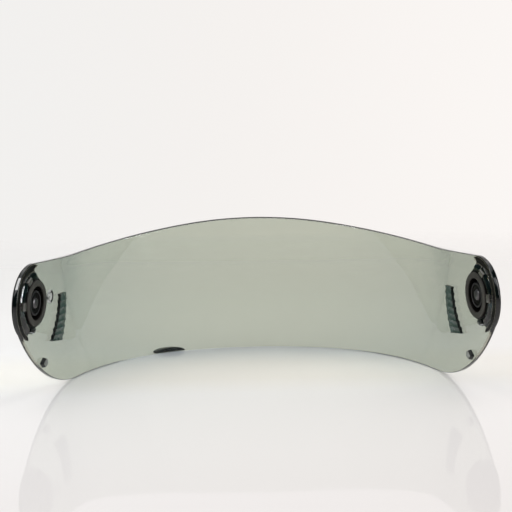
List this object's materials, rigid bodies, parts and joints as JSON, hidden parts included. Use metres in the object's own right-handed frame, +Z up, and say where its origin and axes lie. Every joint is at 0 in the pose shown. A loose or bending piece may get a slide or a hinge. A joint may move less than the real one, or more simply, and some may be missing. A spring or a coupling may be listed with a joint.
{
  "type": "motorcycle helmet visor",
  "caption": "Curved smoke-tinted face shield for a full-face motorcycle helmet, with turning side hubs, sprung lock pins, detent racks, lock lugs and a lift tab.",
  "frame": {"origin": "middle of the footprint, level with the bottom edge the visor stands on", "axes": "+Z up, +Y the way the rider looks, +X to the rider's right"},
  "size_m": [0.2476, 0.1828, 0.0902],
  "materials": {
    "shield": "clear smoke polycarbonate, gloss",
    "dark_tint": "dark tinted plastic, gloss",
    "black": "satin black",
    "grey": "satin dark grey",
    "clip": "semi-clear, gloss"
  },
  "bodies": {
    "visor": {"shield": "shield", "index_button": "shield", "lift_tab": "black", "rack_left": "dark_tint", "lock_lug_left": "dark_tint", "side_cover_left": "black", "rack_right": "dark_tint", "lock_lug_right": "dark_tint", "side_cover_right": "black", "clip_left_1": "clip", "clip_left_2": "clip", "clip_left_3": "clip", "clip_right_1": "clip", "clip_right_2": "clip", "clip_right_3": "clip"},
    "hub_left": {"hub_body_left": "black", "hub_ring_left": "grey", "hub_sleeve_left": "grey"},
    "pin_left": {"lock_pin_left": "grey"},
    "hub_right": {"hub_body_right": "black", "hub_ring_right": "grey", "hub_sleeve_right": "grey"},
    "pin_right": {"lock_pin_right": "grey"}
  },
  "joints": [
    {"name": "hub_left_turn", "type": "hinge", "parent": "visor", "child": "hub_left", "pos_m": [-0.11846, -0.07068, 0.052], "axis": [-0.9785, 0.1985, 0.0569], "range_deg": [0, 50]},
    {"name": "hub_right_turn", "type": "hinge", "parent": "visor", "child": "hub_right", "pos_m": [0.11846, -0.07068, 0.052], "axis": [-0.9785, -0.1985, -0.0569], "range_deg": [0, 50]},
    {"name": "pin_left_press", "type": "slide", "parent": "hub_left", "child": "pin_left", "axis": [-0.9785, 0.1985, 0.0569], "range_m": [0, 0.0016]},
    {"name": "pin_right_press", "type": "slide", "parent": "hub_right", "child": "pin_right", "axis": [0.9785, 0.1985, 0.0569], "range_m": [0, 0.0016]}
  ]
}
